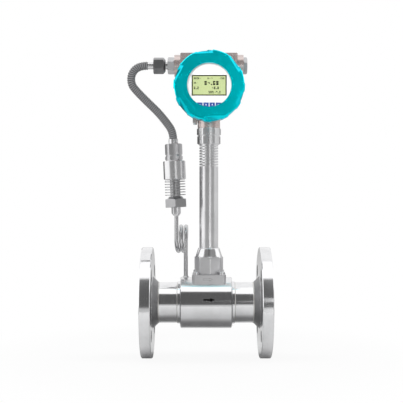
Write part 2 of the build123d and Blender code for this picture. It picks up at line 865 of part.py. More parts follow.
def make_cooling_neck():
    """Turned neck with thin cooling fins between the hexagon and the can."""
    core = cooler_core_od / 2
    edge = cooler_fin_od / 2
    points = [(cooler_bore / 2, neck_base), (core, neck_base)]
    fins_height = (cooler_fin_count - 1) * cooler_fin_pitch + cooler_fin_thickness
    first = neck_base + (cooler_length - fins_height) / 2
    for index in range(cooler_fin_count):
        low = first + index * cooler_fin_pitch
        high = low + cooler_fin_thickness
        points += [(core, low), (edge, low), (edge, high), (core, high)]
    points += [(core, can_base), (cooler_bore / 2, can_base)]
    return sensor * turned(points)


def make_sensor_can():
    """Hollow can of the pressure sensor, bevelled at the foot."""
    outer = can_od / 2
    top = locknut_base
    return sensor * turned([
        (cooler_bore / 2, can_base), (outer - can_bevel, can_base), (outer, can_base + can_bevel),
        (outer, top - foot_edge), (outer - foot_edge, top), (coupling_od / 2 + thread_gap, top),
        (coupling_od / 2 + thread_gap, top - can_wall), (outer - can_wall, top - can_wall),
        (outer - can_wall, can_base + can_wall), (cooler_bore / 2, can_base + can_wall),
    ])


def make_pressure_cell():
    """Pressure cell seated on the can's floor."""
    low = can_base + can_wall
    return sensor * bar_up(cell_od / 2, low, low + cell_height)


def make_lower_coupling():
    """Threaded sleeve from the can's lid up through the locknut into the top nut."""
    low = locknut_base - can_wall
    high = lower_ferrule_base - top_nut_height / 2
    return sensor * (bar_up(coupling_od / 2, low, high) - bar_up(cable_bore / 2, low - 1, high + 1))


def make_sensor_nut(across_flats, low, high, turn, bevel_angle):
    """Nut on the threaded sleeve above the can."""
    nut = bevelled_hex(across_flats, low, high, turn, bevel_angle)
    return sensor * (nut - bar_up(coupling_od / 2 + thread_gap, low - 1, high + 1))


def make_lower_ferrule():
    """Ferrule at the conduit's lower end, its collar inside the top nut."""
    collar_low = lower_ferrule_base - top_nut_height / 2
    ferrule = turned([
        (cable_bore / 2, collar_low), (coupling_od / 2, collar_low),
        (coupling_od / 2, lower_ferrule_base), (lower_ferrule_od / 2, lower_ferrule_base),
        (lower_ferrule_od / 2, conduit_end_height), (cable_bore / 2, conduit_end_height),
    ])
    return sensor * ferrule


# Siphon tube


def siphon_path():
    """Centre line from the fitting down, round the coil behind it and down to the tap."""
    turn_step = 360 / coil_corners
    corner_radius = coil_radius / math.cos(math.radians(turn_step / 2))
    corner_count = coil_turns * coil_corners
    top = sensor * Pos(0, 0, tube_grip)
    points = [top.position, sensor.position]
    for index in range(corner_count):
        angle = math.radians(turn_step * (index + 0.5))
        y = coil_radius - corner_radius * math.cos(angle)
        z = coil_centre_height - corner_radius * math.sin(angle)
        advance = coil_turns * coil_pitch * index / (corner_count - 1)
        sideways = y * math.tan(math.radians(coil_yaw))
        points.append(Vector(sensor_foot_x + advance + sideways, y, z))
    points.append(Vector(tap_x, 0, tap_hole_height))
    return FilletPolyline(*points, radius=corner_radii(points, arc_share))


def corner_radii(points, share):
    """Radius at each inner corner of a route, as large as its two runs allow."""
    radii = []
    for before, corner, after in zip(points, points[1:], points[2:]):
        first = Vector(corner) - Vector(before)
        second = Vector(after) - Vector(corner)
        half_turn = math.radians(first.get_angle(second) / 2)
        radii.append(share * min(first.length, second.length) / math.tan(half_turn))
    return radii


def swept_tube(path, outer, inner=0.0):
    """Tube or rod along a path."""
    start = Plane(origin=path @ 0, z_dir=path % 0)
    tube = sweep(start * Circle(outer / 2), path=path)
    if inner > 0:
        tube -= sweep(start * Circle(inner / 2), path=path)
    return tube


def make_weld_bead():
    """Small weld bead round the siphon tube where it enters the body."""
    crown = body_od / 2
    bead = turned([
        (0, crown - bead_height), (bead_od / 2, crown - bead_height), (bead_od / 2, crown),
        (tube_od / 2 + bead_height / 3, crown + bead_height), (0, crown + bead_height),
    ])
    bead -= bar_up(tube_od / 2 + weld_gap, 0, body_od)
    return Pos(tap_x, 0, 0) * bead - Rot(0, 90, 0) * Cylinder(crown + weld_gap, 4 * body_length)


# Conduit


def conduit_points():
    """Route of the conduit: out of the upper ferrule, over the bend and down to the sensor."""
    end = (sensor * Pos(0, 0, conduit_end_height)).position
    return [
        Vector(conduit_start_x, 0, entry_z),
        Vector(conduit_start_x - conduit_first_run, 0, entry_z),
        Vector(-14.2, 0, 342.6),
        Vector(-14.6, 0, 327.2),
        Vector(-8.0, 0, 317.8),
        Vector(8.5, 0, 301.0),
        Vector(25.0, 0, 285.3),
        Vector(37.0, 0, 271.0),
        (sensor * Pos(0, 0, conduit_end_height + conduit_last_run)).position,
        end,
    ]


def make_conduit():
    """Plain rod of the conduit's outer size along its route, with its radii printed."""
    points = conduit_points()
    radii = corner_radii(points, run_share)
    print("conduit arc radii, mm:", [round(radius, 1) for radius in radii])
    path = FilletPolyline(*points, radius=radii)
    rod = swept_tube(path, conduit_od)
    expected = math.pi * conduit_od ** 2 / 4 * path.length
    print("conduit length, mm:", round(path.length, 1))
    print("conduit volume over section times length:", round(rod.volume / expected, 4))
    return rod


inlet_flange = make_flange()
inlet_pipe = make_pipe()
middle = Plane.YZ.offset(mid_x)
lower_nut_top = fins_start + fin_count * fin_pitch + lower_nut_height
key = make_key()

nodes = {
    "inlet_flange": inlet_flange,
    "outlet_flange": mirror(inlet_flange, middle),
    "inlet_pipe": inlet_pipe,
    "outlet_pipe": mirror(inlet_pipe, middle),
    "meter_body": make_body(),
    "shedder_bar": make_shedder_bar(),
    "base_plate": make_base_plate(),
    "foot_screws": make_foot_screws(),
    "probe_gasket": make_probe_gasket(),
    "sensor_probe": make_sensor_probe(),
    "stem_foot": make_stem_foot(),
    "stem_tube": make_stem_tube(),
    "lower_nut": make_stem_nut(lower_nut_flats, lower_nut_top - lower_nut_height, lower_nut_top),
    "upper_nut": make_stem_nut(upper_nut_flats, lower_nut_top, housing_bottom),
    "housing": make_housing(),
    "ground_screw": make_ground_screw(),
    "front_cover": make_front_cover(),
    "front_seal": head * make_seal(chamber_bore, barrel_front),
    "window_gasket": make_window_gasket(),
    "window_glass": make_window_glass(),
    "window_ring": make_window_ring(),
    "face_plate": make_face_plate(),
    "lcd_panel": make_lcd_panel(),
    "key_switches": make_key_switches(),
    "display_board": make_round_board(
        display_board_od, display_board_front - board_thickness, display_board_front),
    "display_posts": make_posts(main_board_front, display_board_front - board_thickness),
    "main_board": make_round_board(
        main_board_od, main_board_front - board_thickness, main_board_front),
    "board_posts": make_posts(-web_front, main_board_front - board_thickness),
    "rear_cover": make_rear_cover(),
    "rear_seal": head * Rot(0, 0, 180) * make_seal(rear_chamber_bore, rear_barrel_back),
    "terminal_block": make_terminal_block(),
    "terminal_screws": make_terminal_screws(),
    "entry_adapter": make_entry_adapter(),
    "upper_conduit_nut": make_upper_conduit_nut(),
    "upper_ferrule": make_upper_ferrule(),
    "blanking_plug": make_blanking_plug(),
    "conduit": make_conduit(),
    "lower_ferrule": make_lower_ferrule(),
    "top_nut": make_sensor_nut(
        top_nut_flats, top_nut_base, lower_ferrule_base, top_nut_turn, nut_bevel_angle),
    "sensor_locknut": make_sensor_nut(
        locknut_flats, locknut_base, top_nut_base, locknut_turn, locknut_bevel_angle),
    "lower_coupling": make_lower_coupling(),
    "sensor_can": make_sensor_can(),
    "pressure_cell": make_pressure_cell(),
    "cooling_neck": make_cooling_neck(),
    "cone_washer": make_cone_washer(),
    "process_hex": make_process_hex(),
    "tube_fitting": make_tube_fitting(),
    "siphon_tube": swept_tube(siphon_path(), tube_od, tube_bore),
    "weld_bead": make_weld_bead(),
}
for index, place in enumerate(key_places()):
    nodes[f"key_{index + 1}"] = head * place * key

os.makedirs("parts", exist_ok=True)
for name, shape in nodes.items():
    export_step(shape, f"parts/{name}.step")
    print(name, round(shape.volume, 1))
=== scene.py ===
"""Dresses the vortex flow meter: its finishes, its conduit, its display and its markings.

Lengths are metres in the part's own frame: +X along the pipe with the flow, +Z up the stem,
-Y towards the front of the display.
"""

import json
import logging
import math
from dataclasses import dataclass, replace
from enum import Enum
from typing import Callable, ClassVar, Iterable, Sequence, Union

import bmesh
import bpy
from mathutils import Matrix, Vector

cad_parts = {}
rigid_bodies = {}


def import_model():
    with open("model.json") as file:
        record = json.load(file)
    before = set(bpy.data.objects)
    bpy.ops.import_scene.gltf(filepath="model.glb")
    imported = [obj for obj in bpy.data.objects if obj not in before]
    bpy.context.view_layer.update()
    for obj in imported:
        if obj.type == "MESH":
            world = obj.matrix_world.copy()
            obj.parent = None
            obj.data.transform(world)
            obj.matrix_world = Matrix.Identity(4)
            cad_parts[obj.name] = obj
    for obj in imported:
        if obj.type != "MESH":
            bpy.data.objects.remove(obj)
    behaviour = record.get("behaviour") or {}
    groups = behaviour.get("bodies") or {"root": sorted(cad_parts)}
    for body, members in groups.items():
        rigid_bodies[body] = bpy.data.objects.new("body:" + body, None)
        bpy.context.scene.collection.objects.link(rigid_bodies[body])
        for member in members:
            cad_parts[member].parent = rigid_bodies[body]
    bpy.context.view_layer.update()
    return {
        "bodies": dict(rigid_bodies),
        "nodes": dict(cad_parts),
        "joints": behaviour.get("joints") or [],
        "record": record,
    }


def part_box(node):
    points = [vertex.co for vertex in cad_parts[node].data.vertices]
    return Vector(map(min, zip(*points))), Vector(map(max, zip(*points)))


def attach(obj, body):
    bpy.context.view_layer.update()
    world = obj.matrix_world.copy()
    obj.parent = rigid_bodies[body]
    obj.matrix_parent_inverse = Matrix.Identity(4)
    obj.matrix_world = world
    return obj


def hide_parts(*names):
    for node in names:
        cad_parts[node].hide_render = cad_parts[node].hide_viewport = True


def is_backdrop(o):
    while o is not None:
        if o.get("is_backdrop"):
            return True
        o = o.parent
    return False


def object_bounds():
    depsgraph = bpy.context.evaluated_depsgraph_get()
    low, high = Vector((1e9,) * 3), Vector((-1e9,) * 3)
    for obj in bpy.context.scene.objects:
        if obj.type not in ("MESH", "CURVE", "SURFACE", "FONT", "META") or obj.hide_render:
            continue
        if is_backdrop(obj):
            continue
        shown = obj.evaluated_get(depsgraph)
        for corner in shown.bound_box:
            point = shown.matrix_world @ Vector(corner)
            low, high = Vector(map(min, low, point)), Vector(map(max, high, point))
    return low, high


log = logging.getLogger("flow_meter")

MM = 0.001
MERGE_DISTANCE = 1e-6
SHARP_ANGLE = math.radians(28)

Colour = tuple[float, float, float]
Point = tuple[float, float, float]
Outline = list[tuple[float, float]]
Wrap = Callable[[float, float, float], Point]
Value = Union["Wire", float, Sequence[float]]
Sockets = dict[str, Value]
Coats = dict[str, tuple["Finish", float]]

WHITE: Colour = (1.0, 1.0, 1.0)


class Wire:
    """A value in a node tree, which Python's operators add Math nodes to."""

    def __init__(self, tree: "NodeTree", socket: bpy.types.NodeSocket) -> None:
        """Keep the output socket and the tree that new nodes go into."""
        self.tree = tree
        self.socket = socket

    def _math(self, operation: str, first: Value, second: Value) -> "Wire":
        """Add a Math node for two values."""
        return self.tree.node("ShaderNodeMath", {"operation": operation}, {0: first, 1: second})

    def __add__(self, other: Value) -> "Wire":
        """Add two values."""
        return self._math("ADD", self, other)

    def __radd__(self, other: Value) -> "Wire":
        """Add this value to a number."""
        return self._math("ADD", other, self)

    def __sub__(self, other: Value) -> "Wire":
        """Take a value from this one."""
        return self._math("SUBTRACT", self, other)

    def __rsub__(self, other: Value) -> "Wire":
        """Take this value from a number."""
        return self._math("SUBTRACT", other, self)

    def __mul__(self, other: Value) -> "Wire":
        """Multiply two values."""
        return self._math("MULTIPLY", self, other)

    def __rmul__(self, other: Value) -> "Wire":
        """Multiply a number by this value."""
        return self._math("MULTIPLY", other, self)

    def __truediv__(self, other: Value) -> "Wire":
        """Divide this value by another."""
        return self._math("DIVIDE", self, other)

    def __pow__(self, other: Value) -> "Wire":
        """Raise this value to a power."""
        return self._math("POWER", self, other)

    def between(self, low: float, high: float, soft: float) -> "Wire":
        """Return 1 inside a range and 0 outside it, with soft ends.

        Args:
            low: the lower end of the range.
            high: the upper end of the range.
            soft: the width over which each end fades.

        Returns:
            The mask.
        """
        rising = self.step(low - soft / 2, low + soft / 2)
        falling = self.step(high - soft / 2, high + soft / 2)
        return rising * (1 - falling)

    def step(self, low: float, high: float) -> "Wire":
        """Return a smooth step from 0 to 1.

        Args:
            low: the value where the step leaves 0.
            high: the value where the step reaches 1.

        Returns:
            The stepped value.
        """
        settings = {"interpolation_type": "SMOOTHSTEP"}
        inputs = {"Value": self, "From Min": low, "From Max": high}
        return self.tree.node("ShaderNodeMapRange", settings, inputs)


class NodeTree:
    """A node tree that one method adds nodes to."""

    def __init__(self, tree: bpy.types.NodeTree) -> None:
        """Empty the tree of a material or of the world."""
        self.tree = tree
        tree.nodes.clear()

    def node(self, kind: str, settings: dict | None = None, inputs: dict | None = None,
             output: int | str = 0) -> Wire:
        """Add a node.

        Args:
            kind: the node's type.
            settings: its properties, set first, with a ramp's stops under "stops".
            inputs: values or wires by socket name or number.
            output: the output socket to return.

        Returns:
            The wire of that output.
        """
        made = self.tree.nodes.new(kind)
        for name, value in (settings or {}).items():
            if name == "stops":
                self._set_stops(made.color_ramp, value)
            else:
                setattr(made, name, value)
        for name, value in (inputs or {}).items():
            if isinstance(value, Wire):
                self.tree.links.new(value.socket, made.inputs[name])
            else:
                made.inputs[name].default_value = value
        return Wire(self, (made.outputs or made.inputs)[output])

    @staticmethod
    def _set_stops(ramp: bpy.types.ColorRamp, stops: Sequence[tuple[float, Colour]]) -> None:
        """Give a colour ramp its stops."""
        while len(ramp.elements) < len(stops):
            ramp.elements.new(0.5)
        for element, (position, colour) in zip(ramp.elements, stops):
            element.position = position
            element.color = (*colour, 1.0)

    def place(self) -> Wire:
        """Return the place on the piece, in metres of the part's frame."""
        return self.node("ShaderNodeTexCoord", output="Object")

    def axes(self, vector: Wire) -> tuple[Wire, Wire, Wire]:
        """Split a vector.

        Args:
            vector: the wire to split.

        Returns:
            Its three parts.
        """
        split = self.node("ShaderNodeSeparateXYZ", {}, {0: vector})
        outputs = split.socket.node.outputs
        return Wire(self, outputs[0]), Wire(self, outputs[1]), Wire(self, outputs[2])

    def noise(self, vector: Wire, scale: float, detail: float = 3.0,
              roughness: float = 0.5) -> Wire:
        """Add noise from 0 to 1, by its frequency per metre, octaves and their strength."""
        inputs = {"Vector": vector, "Scale": scale, "Detail": detail, "Roughness": roughness}
        return self.node("ShaderNodeTexNoise", {}, inputs)

    def mixed(self, share: Value, first: Value, second: Value) -> Wire:
        """Mix two colours by the share of the second."""
        inputs = {0: share, 6: rgba(first), 7: rgba(second)}
        return self.node("ShaderNodeMix", {"data_type": "RGBA"}, inputs, 2)

    def vectors(self, operation: str, *values: Value) -> Wire:
        """Add a Vector Math node for one or two vectors."""
        return self.node("ShaderNodeVectorMath", {"operation": operation}, dict(enumerate(values)))

    def bump(self, height: Wire, distance: float, under: Wire | None = None) -> Wire:
        """Turn a height into a normal.

        Args:
            height: the height, from 0 to 1.
            distance: what a height of 1 is, in metres.
            under: the normal that it goes on, where it isn't the surface's own.

        Returns:
            The normal.
        """
        inputs = {"Height": height, "Distance": distance}
        if under:
            inputs["Normal"] = under
        return self.node("ShaderNodeBump", {}, inputs)


def rgba(value: Value) -> Value:
    """Give a plain colour its fourth number, and leave a wire as it is."""
    return value if isinstance(value, Wire) or len(value) == 4 else (*value, 1.0)


def toned(colour: Colour, factor: float) -> Colour:
    """Multiply a colour by a number."""
    return tuple(factor * part for part in colour)


class Lay(Enum):
    """Which way the fine tool marks of a metal piece run."""

    ROUND_PIPE = (4000.0, 30.0, 30.0)
    ROUND_STEM = (30.0, 30.0, 4000.0)
    EVEN = (900.0, 900.0, 900.0)


@dataclass(frozen=True)
class Finish:
    """A finish, whose material is made once and shared by its pieces."""

    slot: str
    name: str
    colour: Colour

    def material(self) -> bpy.types.Material:
        """Return the finish's material, made on its first use."""
        found = bpy.data.materials.get(self.name)
        if found:
            return found
        made = bpy.data.materials.new(self.name)
        made.use_nodes = True
        tree = NodeTree(made.node_tree)
        shader = tree.node("ShaderNodeBsdfPrincipled", {}, self.sockets(tree))
        tree.node("ShaderNodeOutputMaterial", {}, {"Surface": shader})
        return made

    def sockets(self, tree: NodeTree) -> Sockets:
        """Give the shader's inputs; each kind of finish has its own."""
        raise NotImplementedError


@dataclass(frozen=True)
class Crown:
    """How the flats of an upright piece are slightly crowned round its own axis."""

    foot: Point
    lean: float
    share: float

    def normal(self, tree: NodeTree, place: Wire) -> Wire:
        """Turn the surface's normal a little away from the axis.

        Args:
            tree: the material's tree.
            place: the place on the piece.

        Returns:
            The turned normal.
        """
        x, y, z = tree.axes(place)
        slope = math.tan(math.radians(self.lean))
        across = x - self.foot[0] + slope * (z - self.foot[2])
        out = tree.node("ShaderNodeCombineXYZ", {}, {0: across, 1: y - self.foot[1], 2: 0.0})
        out = tree.vectors("NORMALIZE", out)
        flat = tree.node("ShaderNodeNewGeometry", output="Normal")
        turned = tree.vectors("ADD", flat, tree.vectors("MULTIPLY", out, (self.share,) * 3))
        return tree.vectors("NORMALIZE", turned)


@dataclass(frozen=True)
class Steel(Finish):
    """Bare metal with fine tool marks and faint smudges.

    Its flats may look crowned, or its edges rounded. Its roughness may change at a height. Near
    the meter's middle it may be darker and rougher; the darker colour is a painted dark reflection.
    """

    roughness: float
    lay: Lay = Lay.EVEN
    mark_depth: float = 0.4e-6
    smudge: float = 0.06
    smudge_scale: float = 45.0
    smudge_shade: float = 0.9
    crown: Crown | None = None
    edge_radius: float = 0.0
    change_height: float | None = None
    change_fade: float = 0.5 * MM
    upper_roughness: float = 0.0
    hub_shade_reach: float | None = None
    hub_shade_fade: float = 0.2 * MM
    hub_shade_middle: float = 97.5 * MM
    hub_shade_colour: Colour = (0.3, 0.3, 0.305)
    hub_roughness: float = 0.45

    def sockets(self, tree: NodeTree) -> Sockets:
        """Give the shader's inputs for bare metal.

        Args:
            tree: the material's tree.

        Returns:
            The values and wires by socket name.
        """
        place = tree.place()
        marks = tree.noise(tree.vectors("MULTIPLY", place, self.lay.value), 1.0, 2.0)
        clouds = tree.noise(place, self.smudge_scale, 4.0, 0.6)
        shade = toned(self.colour, self.smudge_shade)
        colour = tree.mixed(clouds.step(0.35, 0.75), self.colour, shade)
        rough = self.roughness
        if self.change_height is not None:
            height = tree.axes(place)[2]
            upper = height.step(self.change_height, self.change_height + self.change_fade)
            rough = rough + (self.upper_roughness - self.roughness) * upper
        # near the meter's middle the colour is painted darker, a painted dark reflection on the
        # flange hubs, and the roughness rises there
        if self.hub_shade_reach is not None:
            away = tree.axes(place)[0] - self.hub_shade_middle
            away = (away * away) ** 0.5
            skin = 1 - away.step(self.hub_shade_reach, self.hub_shade_reach + self.hub_shade_fade)
            colour = tree.mixed(skin, colour, self.hub_shade_colour)
            rough = rough + (self.hub_roughness - self.roughness) * skin
        under = self.crown.normal(tree, place) if self.crown else None
        if self.edge_radius > 0:
            under = tree.node("ShaderNodeBevel", {"samples": 8}, {"Radius": self.edge_radius})
        return {
            "Base Color": colour,
            "Metallic": 1.0,
            "Roughness": rough + self.smudge * (clouds - 0.5),
            "Normal": tree.bump(marks, self.mark_depth, under),
        }


@dataclass(frozen=True)
class Paint(Finish):
    """Coat of paint on a casting, with a fine orange-peel skin."""

    roughness: float
    metallic: float = 0.0
    peel: float = 12e-6
    grain: float = 900.0
    tint: Colour = WHITE
    cloud_scale: float = 30.0
    cloud_shade: float = 0.88
    unevenness: float = 0.1

    def sockets(self, tree: NodeTree) -> Sockets:
        """Give the shader's inputs for paint.

        Args:
            tree: the material's tree.

        Returns:
            The values and wires by socket name.
        """
        place = tree.place()
        skin = tree.noise(place, self.grain, 3.0)
        clouds = tree.noise(place, self.cloud_scale, 3.0)
        shade = toned(self.colour, self.cloud_shade)
        return {
            "Base Color": tree.mixed(clouds.step(0.3, 0.8), self.colour, shade),
            "Metallic": self.metallic,
            "Roughness": self.roughness + self.unevenness * (skin - 0.5),
            "Specular Tint": rgba(self.tint),
            "Normal": tree.bump(skin, self.peel),
        }


@dataclass(frozen=True)
class Moulding(Finish):
    """Moulded plastic or rubber with a fine spark-eroded texture."""

    roughness: float
    texture: float = 12e-6
    mottle: float = 0.06
    mottle_scale: float = 80.0
    grain_scale: float = 1800.0
    unevenness: float = 0.1

    def base_colour(self, tree: NodeTree) -> Wire:
        """Give the colour with its faint mottle."""
        clouds = tree.noise(tree.place(), self.mottle_scale, 2.0)
        return tree.mixed(clouds.step(0.3, 0.7), self.colour, toned(self.colour, 1 - self.mottle))

    def sockets(self, tree: NodeTree) -> Sockets:
        """Give the shader's inputs for a moulding."""
        grain = tree.noise(tree.place(), self.grain_scale, 2.0)
        return {
            "Base Color": self.base_colour(tree),
            "Roughness": self.roughness + self.unevenness * (grain - 0.5),
            "Normal": tree.bump(grain, self.texture),
        }


@dataclass(frozen=True)
class RibbedSheath(Moulding):
    """Moulded sheath whose grooves take painted shade, darker than its ribs."""

    groove_shade_colour: Colour = (0.045, 0.045, 0.047)

    def base_colour(self, tree: NodeTree) -> Wire:
        """Give the colour from the rib height that the mesh carries, with painted shade in the
        grooves.
        """
        crest = tree.node("ShaderNodeAttribute", {"attribute_name": "rib_height"}, output="Fac")
        return tree.mixed(crest.step(0.2, 0.7), self.groove_shade_colour, self.colour)


@dataclass(frozen=True)
class ClearGlass(Finish):
    """Clear toughened glass, seen through."""

    roughness: float = 0.03
    veil: float = 0.06
    haze_scale: float = 60.0
    haze_roughness: float = 0.03
    haze_veil: float = 0.02

    def sockets(self, tree: NodeTree) -> Sockets:
        """Give the shader's inputs for glass."""
        haze = tree.noise(tree.place(), self.haze_scale, 3.0)
        return {
            "Base Color": rgba(self.colour),
            "Roughness": self.roughness + self.haze_roughness * haze,
            "Alpha": self.veil + self.haze_veil * haze,
        }


@dataclass(frozen=True)
class DisplayPanel(Finish):
    """Reflective display: its frame dark and its sunk field pale green."""

    field_low: Point
    field_high: Point
    frame_colour: Colour = (0.04, 0.035, 0.015)
    cell_colour: Colour = (0.42, 0.47, 0.23)
    cell_share: float = 0.15
    cell_scale: float = 2500.0
    fade: float = 0.1 * MM

    def sockets(self, tree: NodeTree) -> Sockets:
        """Give the shader's inputs from the box of the sunk field.

        Args:
            tree: the material's tree.

        Returns:
            The values and wires by socket name.
        """
        place = tree.place()
        x, _, z = tree.axes(place)
        inside = x.between(self.field_low[0], self.field_high[0], self.fade)
        inside = inside * z.between(self.field_low[2], self.field_high[2], self.fade)
        cells = tree.noise(place, self.cell_scale, 1.0)
        field_colour = tree.mixed(self.cell_share * cells, self.colour, self.cell_colour)
        return {
            "Base Color": tree.mixed(inside, self.frame_colour, field_colour),
            "Roughness": 0.35 + 0.1 * (1 - inside),
        }


@dataclass(frozen=True)
class Ink(Finish):
    """Printed or etched mark with slightly uneven coverage."""

    roughness: float
    gloss: float = 0.5
    wear_scale: float = 2500.0
    wear_gain: float = 1.3
    wear_lift: float = 0.001

    def sockets(self, tree: NodeTree) -> Sockets:
        """Give the shader's inputs for ink.

        Args:
            tree: the material's tree.

        Returns:
            The values and wires by socket name.
        """
        cover = tree.noise(tree.place(), self.wear_scale, 2.0)
        worn = tuple(min(1.0, self.wear_gain * part + self.wear_lift) for part in self.colour)
        return {
            "Base Color": tree.mixed(cover.step(0.55, 0.85), self.colour, worn),
            "Roughness": self.roughness,
            "Specular IOR Level": self.gloss,
        }


STEM_CROWN = Crown((101.7 * MM, 0.0, 0.0), 0.0, 2.5)
SENSOR_CROWN = Crown((53.2 * MM, 0.0, 129.6 * MM), 2.38, 0.5)
PIPE_STEEL = Steel("polished_steel", "turned_pipe_steel", (0.84, 0.84, 0.85), 0.12, Lay.ROUND_PIPE)
# the flange hubs take a painted dark reflection within this reach of the meter's middle
FLANGE_STEEL = replace(PIPE_STEEL, name="turned_flange_steel", hub_shade_reach=79.2 * MM)
BODY_STEEL = replace(
    PIPE_STEEL, name="turned_body_steel", change_height=26.0 * MM, upper_roughness=0.24)
STEM_STEEL = Steel("polished_steel", "turned_stem_steel", (0.82, 0.82, 0.83), 0.28,
                   Lay.ROUND_STEM, 0.15e-6, 0.03)
CAN_STEEL = replace(STEM_STEEL, name="satin_can_steel", colour=(0.78, 0.78, 0.79), roughness=0.26)
STEM_NUT_STEEL = Steel(
    "polished_steel", "stem_nut_steel", (0.8, 0.8, 0.81), 0.27, crown=STEM_CROWN)
FOOT_STEEL = Steel("polished_steel", "milled_foot_steel", (0.8, 0.8, 0.81), 0.32,
                   change_height=69.0 * MM, upper_roughness=0.14, edge_radius=3.4 * MM)
PROBE_STEEL = Steel("polished_steel", "milled_probe_steel", (0.8, 0.8, 0.81), 0.17)
WELD_STEEL = Steel("polished_steel", "brushed_weld_steel", (0.7, 0.69, 0.67), 0.3)
PLATE_STEEL = Steel(
    "satin_steel", "blasted_plate_steel", (0.66, 0.66, 0.67), 0.42, mark_depth=6e-6)
SENSOR_STEEL = Steel(
    "polished_steel", "milled_sensor_steel", (0.74, 0.74, 0.75), 0.3, crown=SENSOR_CROWN)
SENSOR_NUT_STEEL = Steel(
    "plated_steel", "plated_sensor_nuts", (0.62, 0.62, 0.63), 0.32, crown=SENSOR_CROWN)
NECK_STEEL = Steel("polished_steel", "finned_neck_steel", (0.5, 0.5, 0.51), 0.32)
PROCESS_STEEL = Steel(
    "polished_steel", "milled_process_steel", (0.5, 0.5, 0.51), 0.3, edge_radius=0.8 * MM)
TUBE_STEEL = Steel("polished_steel", "drawn_tube_steel", (0.62, 0.62, 0.63), 0.26)
PLATED_STEEL = Steel("plated_steel", "plated_steel_pieces", (0.76, 0.76, 0.77), 0.24)
ADAPTER_STEEL = Steel("plated_steel", "plated_adapter", (0.6, 0.6, 0.61), 0.24)
PLUG_STEEL = Steel("plated_steel", "plated_plug", (0.5, 0.5, 0.51), 0.3)
DARK_NUT = Steel("dark_nut", "dark_plated_nut", (0.34, 0.34, 0.35), 0.32)
HOUSING_PAINT = Paint("housing_grey", "warm_grey_coat", (0.6, 0.515, 0.495), 0.27, 0.85, 5e-6)
TEAL_PAINT = Paint(
    "cover_teal", "teal_coat", (0.0, 0.89, 1.0), 0.2, 0.91, 3e-6, 300.0, (0.0, 0.85, 1.0))
RING_METAL = Paint("black_metal", "black_ring", (0.03, 0.03, 0.03), 0.35)
SEAL_RUBBER = Moulding("seal_rubber", "black_seal_rubber", (0.02, 0.02, 0.02), 0.6)
FACE_WHITE = Moulding("face_white", "white_face", (0.95, 0.95, 0.95), 0.45, 4e-6, 0.02)
KEY_BLUE = Moulding("key_blue", "blue_keys", (0.001, 0.045, 0.3), 0.35, 4e-6)
SWITCH_BLACK = Moulding("switch_black", "black_switches", (0.03, 0.03, 0.03), 0.4)
BOARD_GREEN = Moulding("board_green", "green_boards", (0.01, 0.13, 0.04), 0.35, 4e-6, 0.2)
TERMINAL_GREY = Moulding("terminal_grey", "grey_terminals", (0.18, 0.19, 0.19), 0.5)
CONDUIT_GREY = RibbedSheath("conduit_grey", "grey_conduit_sheath", (0.15, 0.15, 0.155), 0.42)
WINDOW_GLASS = ClearGlass("window_glass", "clear_window", (0.03, 0.035, 0.035))
ARROW_INK = Ink("seal_rubber", "black_flow_mark", (0.001, 0.001, 0.001), 0.6, 0.03)
ETCHED_INK = Ink("satin_steel", "etched_mark", (0.2, 0.2, 0.2), 0.6)
DIGIT_INK = Ink("display_olive", "display_digits", (0.001, 0.001, 0.001), 0.5, 0.1)
SYMBOL_INK = Ink("face_white", "key_symbols", (0.85, 0.92, 0.98), 0.4)

LIT_FIGURES = {
    "top": "02356789",
    "middle": "2345689",
    "bottom": "0235689",
    "left_up": "045689",
    "right_up": "01234789",
    "left_down": "0268",
    "right_down": "013456789",
}


def link(name: str, data: bpy.types.ID) -> bpy.types.Object:
    """Make an object of mesh or curve data and put it in the scene."""
    made = bpy.data.objects.new(name, data)
    bpy.context.scene.collection.objects.link(made)
    return made


def dress(piece: bpy.types.Object, finish: Finish) -> None:
    """Give a piece a finish in all its material slots.

    Args:
        piece: the mesh to dress.
        finish: the finish that it takes.
    """
    material = finish.material()
    if not piece.data.materials:
        piece.data.materials.append(material)
    for slot in piece.material_slots:
        slot.link = "OBJECT"
        slot.material = material


def mesh_piece(name: str, body: str, build: bmesh.types.BMesh, finish: Finish,
               smooth: bool = True) -> bpy.types.Object:
    """Turn a built mesh into a dressed piece that rides on a body.

    Args:
        name: the piece's name.
        body: the body that it moves with.
        build: the mesh, which is freed.
        finish: its finish.
        smooth: whether its faces are shaded smooth.

    Returns:
        The piece.
    """
    bmesh.ops.recalc_face_normals(build, faces=build.faces)
    for face in build.faces:
        face.smooth = smooth
    data = bpy.data.meshes.new(name)
    build.to_mesh(data)
    build.free()
    piece = link(name, data)
    dress(piece, finish)
    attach(piece, body)
    log.info("%s made", name)
    return piece


def soften_edges(piece: bpy.types.Object, width: float) -> None:
    """Round the sharp edges of a piece as a file or a tumbler leaves them.

    Args:
        piece: the piece, whose own mesh stays as it is.
        width: the width of the rounding.
    """
    weld = piece.modifiers.new("joined_faces", "WELD")
    weld.merge_threshold = MERGE_DISTANCE
    bevel = piece.modifiers.new("soft_edges", "BEVEL")
    bevel.width = width
    bevel.segments = 2
    bevel.limit_method = "ANGLE"
    bevel.angle_limit = SHARP_ANGLE
    bevel.miter_outer = "MITER_ARC"
    shading = piece.modifiers.new("even_shading", "WEIGHTED_NORMAL")
    shading.weight = 100
    shading.keep_sharp = False


@dataclass
class SubAssembly:
    """A group of the meter's pieces, with the finish and edge rounding of each carried one."""

    nodes: dict[str, bpy.types.Object]
    coats: ClassVar[Coats] = {}

    def dress(self) -> None:
        """Dress the carried nodes."""
        for name, (finish, edge) in self.coats.items():
            piece = self.nodes[name]
            dress(piece, finish)
            if edge > 0:
                soften_edges(piece, edge)
            log.info("%s takes %s", name, finish.name)

    def build(self) -> None:
        """Build the pieces that the sub-assembly adds."""


